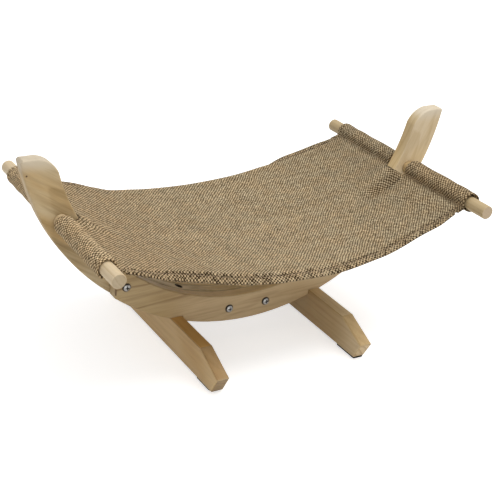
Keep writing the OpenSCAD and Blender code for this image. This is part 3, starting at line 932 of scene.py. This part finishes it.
# The cloth as a grid of points, the place of each on the flat cloth, and which cells are cloth.
# Hems, flares and slack follow the path's normal; the sheet's height is added upright.
def clothGrid(look):
    y = flatStations(look)
    stations = hemStations(look)
    n = len(stations)
    wide = clothMid + (y - clothMid) * bulge
    flat = sheetHeight(look, path[:, :1], y)
    slopes = [np.arctan(2 * rise / crestHalf) for rise in edgeRises(look)]
    hems = [hemLine(look, stations, *st) for st in zip(slopes, hemTurns(look))]
    (frontOut, frontUp), (rearOut, rearUp) = hems
    foldEnd = seamLength - look["allowance"] - look["foldStop"]
    length = np.abs(pathLength)
    narrow = ease(length, foldEnd - look["foldNarrow"], foldEnd) * (length <= foldEnd)
    narrow = (1 - narrow * (look["hemFold"] + look["thickness"] / 2) / look["hemWidth"])[:, None]
    across = np.hstack([(wide[:, :1] - frontOut * narrow)[:, ::-1], wide, wide[:, -1:] + rearOut * narrow])
    upright = np.hstack([np.repeat(flat[:, :1], n, axis=1), flat, np.repeat(flat[:, -1:], n, axis=1)])
    normalwise = np.hstack([frontUp[:, ::-1], np.zeros_like(y), rearUp])
    normalwise = normalwise + sleeveSwell(look, y, across, stations)
    points = np.empty(across.shape + (3,))
    points[..., 0] = path[:, :1] + normalwise * pathNormal[:, :1]
    points[..., 1] = across
    points[..., 2] = path[:, 1:] + normalwise * pathNormal[:, 1:] + upright
    places = np.zeros_like(points)
    places[..., 0] = pathLength[:, None]
    places[..., 1] = np.hstack([y[:, :1] - stations[::-1], y, y[:, -1:] + stations])
    cells = np.arange(across.shape[1] - 1)
    firstIn = n + len(flatShares) - 1
    inSlot = (cells >= firstIn) & (cells <= firstIn + len(slotShares))
    inFlap = (cells > firstIn) & (cells < firstIn + len(slotShares))
    flapAt = np.flatnonzero(np.append(inFlap, False) | np.append(False, inFlap))
    for side in (-1, 1):
        end = np.argmin(np.abs(pathLength - side * slotLength))
        past = side * pathLength - slotLength
        rows = np.flatnonzero((past > 1e-6) & (past < look["flap"]))
        alongHorn = np.array([side * abs(hornNormal[2]), 0, abs(hornNormal[0])])
        points[np.ix_(rows, flapAt)] = points[end, flapAt] - past[rows][:, None, None] * alongHorn
    return points, places, keptCells(look, stations, inSlot, inFlap, foldEnd, y.shape[1])


# Unit normals of a grid of points: the cross product of its two differences
def gridNormals(points):
    normal = np.cross(np.gradient(points, axis=0), np.gradient(points, axis=1))
    return normal / np.linalg.norm(normal, axis=2, keepdims=True)


# Faces of a sheet with two sides: each kept cell gives one face on each side, and a wall stands where a kept
# cell has no neighbour. Vertices are numbered by side, then along, then across.
def sheetFaces(kept):
    along, across = kept.shape[0] + 1, kept.shape[1] + 1
    top = np.arange(along * across).reshape(along, across)
    low = top + along * across
    around = np.pad(kept, 1)
    a, b, c, d = top[:-1, :-1], top[1:, :-1], top[1:, 1:], top[:-1, 1:]
    e, f, g, h = low[:-1, :-1], low[1:, :-1], low[1:, 1:], low[:-1, 1:]
    walls = [
        (kept & ~around[1:-1, :-2], (a, e, f, b)),
        (kept & ~around[1:-1, 2:], (d, c, g, h)),
        (kept & ~around[:-2, 1:-1], (a, d, h, e)),
        (kept & ~around[2:, 1:-1], (b, f, g, c)),
    ]
    sides = [(kept, (a, b, c, d)), (kept, (e, h, g, f))]
    made = [np.stack([q[where] for q in quad], axis=1) for where, quad in sides + walls]
    smooth = np.concatenate([np.full(len(m), k < len(sides)) for k, m in enumerate(made)])
    return np.vstack(made), smooth


# A mesh object from arrays; vertices that no face uses are left out
def meshObject(name, points, faces, smooth, material, places=None):
    used, index = np.unique(faces, return_inverse=True)
    faces = index.reshape(faces.shape)
    mesh = bpy.data.meshes.new(name)
    mesh.vertices.add(len(used))
    mesh.vertices.foreach_set("co", points[used].astype(np.float32).ravel())
    mesh.loops.add(faces.size)
    mesh.loops.foreach_set("vertex_index", faces.astype(np.int32).ravel())
    mesh.polygons.add(len(faces))
    mesh.polygons.foreach_set("loop_start", np.arange(0, faces.size, faces.shape[1], dtype=np.int32))
    mesh.polygons.foreach_set("use_smooth", smooth)
    mesh.update(calc_edges=True)
    mesh.validate()
    if places is not None:
        kind = mesh.attributes.new("clothPlace", "FLOAT_VECTOR", "POINT")
        kind.data.foreach_set("vector", places[used].astype(np.float32).ravel())
    mesh.materials.append(material)
    made = bpy.data.objects.new(name, mesh)
    bpy.context.scene.collection.objects.link(made)
    return made


weaveLook = {
    "pair": 4.535 * mm,  # a dark and a light yarn
    "lightYarn": (0.66, 0.525, 0.345, 1),
    "darkYarn": (0.105, 0.067, 0.03, 1),
    "warmTone": (1.0, 0.925, 0.81, 1),
    "coolTone": (0.95, 0.96, 0.93, 1),
    "shakes": ((34, 4.5 * mm), (190, 2.2 * mm)),  # uneven yarns: scale of the noise, and reach
    "fuzz": (1500, 3),  # noises: scale and detail
    "broad": (14, 3),
    "tone": (42, 3),
    "toneRoughness": 0.65,
    "toneEdge": (0.36, 0.66),
    "weftSeed": 0.37,  # gives the weft other random numbers than the warp
    "lightEdge": (-0.2, 0.2),
    "uneven": (0.3, 0.7),  # how uneven the cells are, and how much more on the hems
    "level": 0.58,  # brightness, and what each cell, yarn and noise adds
    "levelShares": {"warp": 0.14, "weft": 0.14, "own": 0.34, "fuzz": 0.3, "broad": -0.1},
    "between": 0.58,  # painted shade: level between the yarns
    "hemShade": (0.48, 0.29),  # painted shade on the hems, where the yarns part: its share, and how much less on light yarns
    "fleck": ((0.998, 0.999), 0.6),  # the few cells that are dark, and share
    "mouthShade": 0.25,  # painted shade at the sleeves' mouths: share taken off the light yarns
    # How much darker and how much warmer the cloth is at its places: the shades are painted shade, in the
    # hem's stitch groove, along the crease and fold at the right slot, in the tuck at the slots' inner ends,
    # on the front of the right sleeve and towards the sheet's right end, and the crease and that sleeve front
    # are warmer with it
    "shades": {"groove": 0.35, "crease": 0.32, "fold": 0.35, "tuck": 0.6, "rightFront": 0.06, "right": 0.16},
    "warmShares": {"tone": 0.7, "left": 0.55, "crease": 0.5, "rightFront": 0.5, "onHem": 0.4},
    "sheetLevel": 0.94,  # right of the left sleeve
    # painted light: how much brighter the left sleeve is
    "leftSleeveGain": 0.25,
    "fromLeftGain": 0.06,
    "creaseAt": 22.5 * mm,  # in front of the middle, at the right slot
    "creaseLean": 0.13,
    "creaseAcross": ((-1.2 * mm, 1.2 * mm), (6 * mm, 24 * mm)),  # between which it starts and ends
    "creaseAlong": ((-10 * mm, 1 * mm), (30 * mm, 75 * mm)),
    "foldAcross": (0.4 * mm, 2.4 * mm),
    "foldAlong": ((-10 * mm, -2 * mm), (8 * mm, 40 * mm)),
    "tuckAlong": (3.6 * mm, 1 * mm),  # before the slot's inner end
    "tuckAcross": (-1 * mm, 1.5 * mm),  # from the slot's edge
    "hemFrom": (1 * mm, 4 * mm),  # past the crest
    "grooveHalf": (0.5 * mm, 1.9 * mm),
    "mouthEdge": 1 * mm,
    "endEdge": 8 * mm,
    "rightFrontAlong": (150 * mm, 200 * mm),
    "rightFrontAcross": (-20 * mm, 20 * mm),
    "right": (60 * mm, 260 * mm),
    "left": (-220 * mm, -20 * mm),
    "fromLeft": (-200 * mm, -40 * mm),
    "leftSleeve": (-6 * mm, 12 * mm),  # about the left seam
    "roughness": 0.9,
    "specular": 0.15,
    "relief": (0.8, 0.6 * mm),  # strength and depth
    "fuzzRelief": 0.35,
}


# 1 between two smooth steps: it rises over the first pair of places and falls over the second
def between(field, first, second):
    return field.rise(*first) * (1 - field.rise(*second))


# Shares of the cloth's places, by the distances along and across the flat cloth: each is 1 where its name
# says and 0 away from there
def clothPlaces(look, cut, along, across):
    out = abs(across - clothMid)
    onEnd = abs(along).rise(seamLength - look["endEdge"], seamLength)
    mouthAt = crestHalf + cut["hemWidth"]
    inward = slotLength - along
    offCrease = across + look["creaseAt"] + inward * look["creaseLean"]
    onCrease = 1 - abs(offCrease).rise(*look["foldAcross"])
    groove = 1 - abs(out - (crestHalf + cut["stitchIn"])).rise(*look["grooveHalf"])
    tuck = abs(along).rise(*(slotLength - t for t in look["tuckAlong"]))
    inNeck = 1 - abs(across).rise(*(cut["slotNeck"] + t for t in look["tuckAcross"]))
    inFront = 1 - across.rise(*look["rightFrontAcross"])
    return {
        "onHem": out.rise(*(crestHalf + p for p in look["hemFrom"])) * (1 - onEnd),
        "mouth": out.rise(mouthAt - look["mouthEdge"], mouthAt) * onEnd,
        "groove": groove * (1 - onEnd),
        "crease": between(offCrease, *look["creaseAcross"]) * between(inward, *look["creaseAlong"]),
        "fold": onCrease * between(inward, *look["foldAlong"]),
        "tuck": tuck * inNeck,
        "rightFront": onEnd * along.rise(*look["rightFrontAlong"]) * inFront,
        "right": along.rise(*look["right"]),
        "left": 1 - along.rise(*look["left"]),
        "fromLeft": along.rise(*look["fromLeft"]),
        "leftSleeve": 1 - along.rise(*(p - seamLength for p in look["leftSleeve"])),
    }


# Plain weave of dark and light yarns: the product of two sines is a chequer of cells, light where it is above
# zero; the root of its size is the yarns' height, and painted shade darkens the low lines between cells. Each
# cell and each yarn has its own brightness, and painted shade darkens the hems and the sleeves' mouths, where
# the yarns part, and the places named in the shades.
def weaveMaterial(look, cut):
    made, field, shader = newMaterial("juteWeave")
    place = field.node("ShaderNodeAttribute", {"attribute_name": "clothPlace"}, out=1)
    at = clothPlaces(look, cut, *place.split()[:2])
    moved = place
    for scale, reach in look["shakes"]:
        shake = field.vector("SUBTRACT", field.noise(place, scale, 2, out=1), (0.5, 0.5, 0.5))
        moved = field.vector("MULTIPLY_ADD", shake, (reach, reach, 0), moved)
    along, across = (part / (look["pair"] / 2) for part in moved.split()[:2])
    cells = field.maths("SINE", along * math.pi) * field.maths("SINE", across * math.pi)
    height = abs(cells) ** 0.5
    row, column = field.maths("FLOOR", along), field.maths("FLOOR", across)
    whole = field.node("ShaderNodeCombineXYZ", inputs={"X": row, "Y": column})
    own = field.node("ShaderNodeTexWhiteNoise", {"noise_dimensions": "2D"}, {"Vector": whole})
    kinds = {
        "warp": field.random(row),
        "weft": field.random(column + look["weftSeed"]),
        "own": own,
        "fuzz": field.noise(place, *look["fuzz"]),
        "broad": field.noise(place, *look["broad"]),
    }
    tone = field.noise(place, *look["tone"], Roughness=look["toneRoughness"])
    unevenBase, unevenHem = look["uneven"]
    chequer = cells + (own - 0.5) * (unevenBase + unevenHem * at["onHem"])
    # painted shade at the sleeves' mouths takes light yarns away
    light = chequer.rise(*look["lightEdge"]) * (1 - look["mouthShade"] * at["mouth"])
    level = look["level"] + sum(share * kinds[kind] for kind, share in look["levelShares"].items())
    hemShadeDark, hemShadeLight = look["hemShade"]
    fleck, fleckShare = look["fleck"]
    # painted shade in the low lines between the yarns
    level = level * (look["between"] + (1 - look["between"]) * height)
    # painted shade on the hems
    level = level * (1 - at["onHem"] * (hemShadeDark - hemShadeLight * light))
    level = level * (1 - fleckShare * own.rise(*fleck))
    # painted shade at the places listed in the shades
    for where, share in look["shades"].items():
        level = level * (1 - share * at[where])
    # painted light: brighter on the left sleeve
    level = level * (look["sheetLevel"] + look["leftSleeveGain"] * at["leftSleeve"])
    level = level * (1 + look["fromLeftGain"] * at["fromLeft"])
    warmAt = {**at, "tone": tone.rise(*look["toneEdge"])}
    warmth = sum(share * warmAt[where] for where, share in look["warmShares"].items())
    toned = field.mixed(warmth, look["coolTone"], look["warmTone"])
    yarn = field.mixed(1.0, field.mixed(light, look["darkYarn"], look["lightYarn"]), toned, "MULTIPLY")
    grey = field.node("ShaderNodeCombineXYZ", inputs={"X": level, "Y": level, "Z": level})
    wire(field.mixed(1.0, yarn, grey, "MULTIPLY"), shader["Base Color"])
    shader["Roughness"].default_value = look["roughness"]
    shader["Specular IOR Level"].default_value = look["specular"]
    wire(field.bump(height + kinds["fuzz"] * look["fuzzRelief"], *look["relief"]), shader["Normal"])
    return made


# Thickness along and across the cloth: it eases from the sheet's to the sleeves', which is less again at
# their mouths and by the slots
def clothThickness(look, y):
    out = np.abs(y - clothMid) - crestHalf
    thin = ease(out, *(look["hemWidth"] - before for before in look["mouthThin"]))
    thin = np.maximum(thin, 1 - ease(np.abs(y), look["slotHalf"], look["slotHalf"] + look["slotThin"]))
    sleeve = look["sleeveThickness"] + (look["mouthThickness"] - look["sleeveThickness"]) * thin
    return look["thickness"] + (sleeve - look["thickness"]) * onLoop[:, None]


points, places, kept = clothGrid(clothLook)
normals = gridNormals(points)
half = clothThickness(clothLook, places[..., 1])[..., None] / 2
faces, smooth = sheetFaces(kept)
bothSides = np.concatenate([points + normals * half, points - normals * half]).reshape(-1, 3)
bothPlaces = np.concatenate([places, places]).reshape(-1, 3)
cloth = meshObject("cloth", bothSides, faces, smooth, weaveMaterial(weaveLook, clothLook), bothPlaces)


# Stitches

stitchLook = {
    "pitch": 3.8 * mm,
    "length": 2.7 * mm,
    "radius": 0.38 * mm,
    "lift": 0.35 * mm,
    "arch": (1.6, 0.8),  # of the lift: height of the bow, and how deep its ends are
    "tip": 0.06,  # smallest square of a ring's share of the radius
    "rings": 5,
    "sides": 6,
    "seamEnd": 4 * mm,  # from the sleeve's seam to the last stitch of a hem
    "mouthEnd": 1 * mm,
    "colour": (0.32, 0.21, 0.12, 1),
    "worn": (0.42, 0.30, 0.19, 1),
    "twist": (2500, 2),  # noise: scale and detail
    "roughness": 0.75,
}


# Thread, between two browns by fine noise
def threadMaterial(look):
    made, field, shader = newMaterial("seamThread")
    twist = field.noise(field.node("ShaderNodeTexCoord", out=3), *look["twist"])
    wire(field.mixed(twist, look["colour"], look["worn"]), shader["Base Color"])
    shader["Roughness"].default_value = look["roughness"]
    return made


# Stitches along a line of points: each is a short tube whose middle stands above the cloth and whose ends
# dive into it. Its height is a half sine, and its rings shrink towards the ends.
def stitchTubes(look, line, normal):
    length = np.append(0, np.cumsum(np.linalg.norm(np.diff(line, axis=0), axis=1)))
    starts = np.arange(look["pitch"] / 2, length[-1] - look["length"], look["pitch"])
    rings, sides = look["rings"], look["sides"]
    share = np.linspace(0, 1, rings)
    at = starts[:, None] + share * look["length"]
    centre = np.stack([np.interp(at, length, line[:, k]) for k in range(3)], axis=-1)
    up = np.stack([np.interp(at, length, normal[:, k]) for k in range(3)], axis=-1)
    along = np.gradient(centre, axis=1)
    along /= np.linalg.norm(along, axis=-1, keepdims=True)
    side = np.cross(along, up)
    bow, sunk = look["arch"]
    rise = look["lift"] * (bow * np.sin(math.pi * share) - sunk)
    centre = centre + up * rise[None, :, None]
    radius = look["radius"] * np.sqrt(np.clip(1 - (2 * share - 1) ** 4, look["tip"], 1))
    angle = np.arange(sides) * 2 * math.pi / sides
    ringUp = np.cos(angle)[None, None, :, None] * up[:, :, None, :]
    ringSide = np.sin(angle)[None, None, :, None] * side[:, :, None, :]
    tube = centre[:, :, None, :] + radius[None, :, None, None] * (ringUp + ringSide)
    index = np.arange(tube.size // 3).reshape(len(starts), rings, sides)
    onward = np.roll(index, -1, axis=2)
    walls = np.stack([index[:, :-1], onward[:, :-1], onward[:, 1:], index[:, 1:]], axis=-1).reshape(-1, 4)
    heads = index[:, [0, -1]]
    heads[:, 0] = heads[:, 0, ::-1]
    caps = np.concatenate([heads[..., [0, 1, 2, 3]].reshape(-1, 4), heads[..., [0, 3, 4, 5]].reshape(-1, 4)])
    return tube.reshape(-1, 3), np.vstack([walls, caps])


# Lines of points and normals on the cloth's upper side: one along each hem, and two along each sleeve's seam
def stitchLines(look, cut):
    surface = points + normals * half
    n = len(hemStations(cut))
    at = np.searchsorted(hemStations(cut), cut["stitchIn"])
    sheet = np.abs(pathLength) < seamLength - look["seamEnd"]
    lines = [(surface[sheet, r], normals[sheet, r]) for r in (n - 1 - at, points.shape[1] - n + at)]
    for side in (-1, 1):
        i = np.argmin(np.abs(pathLength - side * seamLength))
        y = places[i, :, 1]
        front = (y < -cut["slotHalf"]) & (y > sleeveFront + look["mouthEnd"])
        rear = (y > cut["slotHalf"]) & (y < sleeveRear - look["mouthEnd"])
        lines += [(surface[i, where], normals[i, where]) for where in (front, rear)]
    return lines


tubes = [stitchTubes(stitchLook, *line) for line in stitchLines(stitchLook, clothLook)]
offsets = np.cumsum([0] + [len(p) for p, f in tubes[:-1]])
stitchPoints = np.vstack([p for p, f in tubes])
stitchFaces = np.vstack([f + o for (p, f), o in zip(tubes, offsets)])
allSmooth = np.ones(len(stitchFaces), bool)
stitches = meshObject("seam_stitches", stitchPoints, stitchFaces, allSmooth, threadMaterial(stitchLook))
print("stitches:", len(stitchFaces), "faces")


# Pads

padLook = {
    "rubber": (0.004, 0.004, 0.004, 1),
    "dusty": (0.014, 0.013, 0.012, 1),
    "corner": 2 * mm,
    "edge": 0.6 * mm,  # rounding along the floor
    "setBack": {"left_front_pad": 7 * mm},  # from the end of the foot
    "cornerPoints": 7,
    "pores": (1400, 4),  # noises: scale and detail
    "dust": (90, 3),
    "dustEdge": (0.5, 0.8),
    "roughness": (0.75, 0.2),  # everywhere, and by pores
    "specular": 0.08,
    "relief": (0.5, 0.4 * mm),  # strength and depth
}


# Black rubber with pores, dusty where slow noise is high
def padMaterial(look):
    made, field, shader = newMaterial("blackRubber")
    place = field.node("ShaderNodeTexCoord", out=3)
    pores = field.noise(place, *look["pores"])
    dust = field.noise(place, *look["dust"])
    wire(field.mixed(dust.rise(*look["dustEdge"]), look["rubber"], look["dusty"]), shader["Base Color"])
    base, byPores = look["roughness"]
    wire(base + pores * byPores, shader["Roughness"])
    shader["Specular IOR Level"].default_value = look["specular"]
    wire(field.bump(pores, *look["relief"]), shader["Normal"])
    return made


# A pad in the place of its node: a rectangle with round corners, carried up from the floor. The lowest rings
# are drawn in by the rounded edge, and strips from side to side close the floor side and the top.
def padSurface(look, name):
    low, high = (np.array(c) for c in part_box(name))
    low[1] += look["setBack"].get(name, 0)
    corner, edge, each = look["corner"], look["edge"], look["cornerPoints"]
    angle = np.radians(np.linspace(0, 90, each) + np.arange(4)[:, None] * 90).ravel()
    inner = (high - low)[:2] / 2 - corner
    signs = np.repeat([[1, 1], [-1, 1], [-1, -1], [1, -1]], each, axis=0)
    outward = np.column_stack([np.cos(angle), np.sin(angle)])
    turn = np.radians([0, 30, 60, 90])
    radius = np.append(corner - edge * (1 - np.sin(turn)), corner)
    level = np.append(low[2] + edge * (1 - np.cos(turn)), high[2])
    ring = (low + high)[:2] / 2 + signs * inner + outward * radius[:, None, None]
    rings, n = ring.shape[:2]
    found = np.concatenate([ring, np.repeat(level[:, None, None], n, axis=1)], axis=2).reshape(-1, 3)
    index = np.arange(rings * n).reshape(rings, n)
    onward = np.roll(index, -1, axis=1)
    walls = np.stack([index[:-1], onward[:-1], onward[1:], index[1:]], axis=-1).reshape(-1, 4)
    i = np.arange(n // 2 - 1)
    cap = np.column_stack([i, i + 1, n - 2 - i, n - 1 - i])
    return found, np.vstack([walls, cap[:, ::-1], cap + (rings - 1) * n])


rubber = padMaterial(padLook)
for padName in [n for n in nodes if n.endswith("_pad")]:
    padPoints, padFaces = padSurface(padLook, padName)
    pieceName = padName.replace("_pad", "_rubber")
    pad = meshObject(pieceName, padPoints, padFaces, np.zeros(len(padFaces), bool), rubber)
    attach(pad, "frame")
    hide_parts(padName)
print("pads made")

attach(cloth, "frame")
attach(stitches, "frame")
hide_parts("hammock_cloth")

bpy.context.view_layer.update()
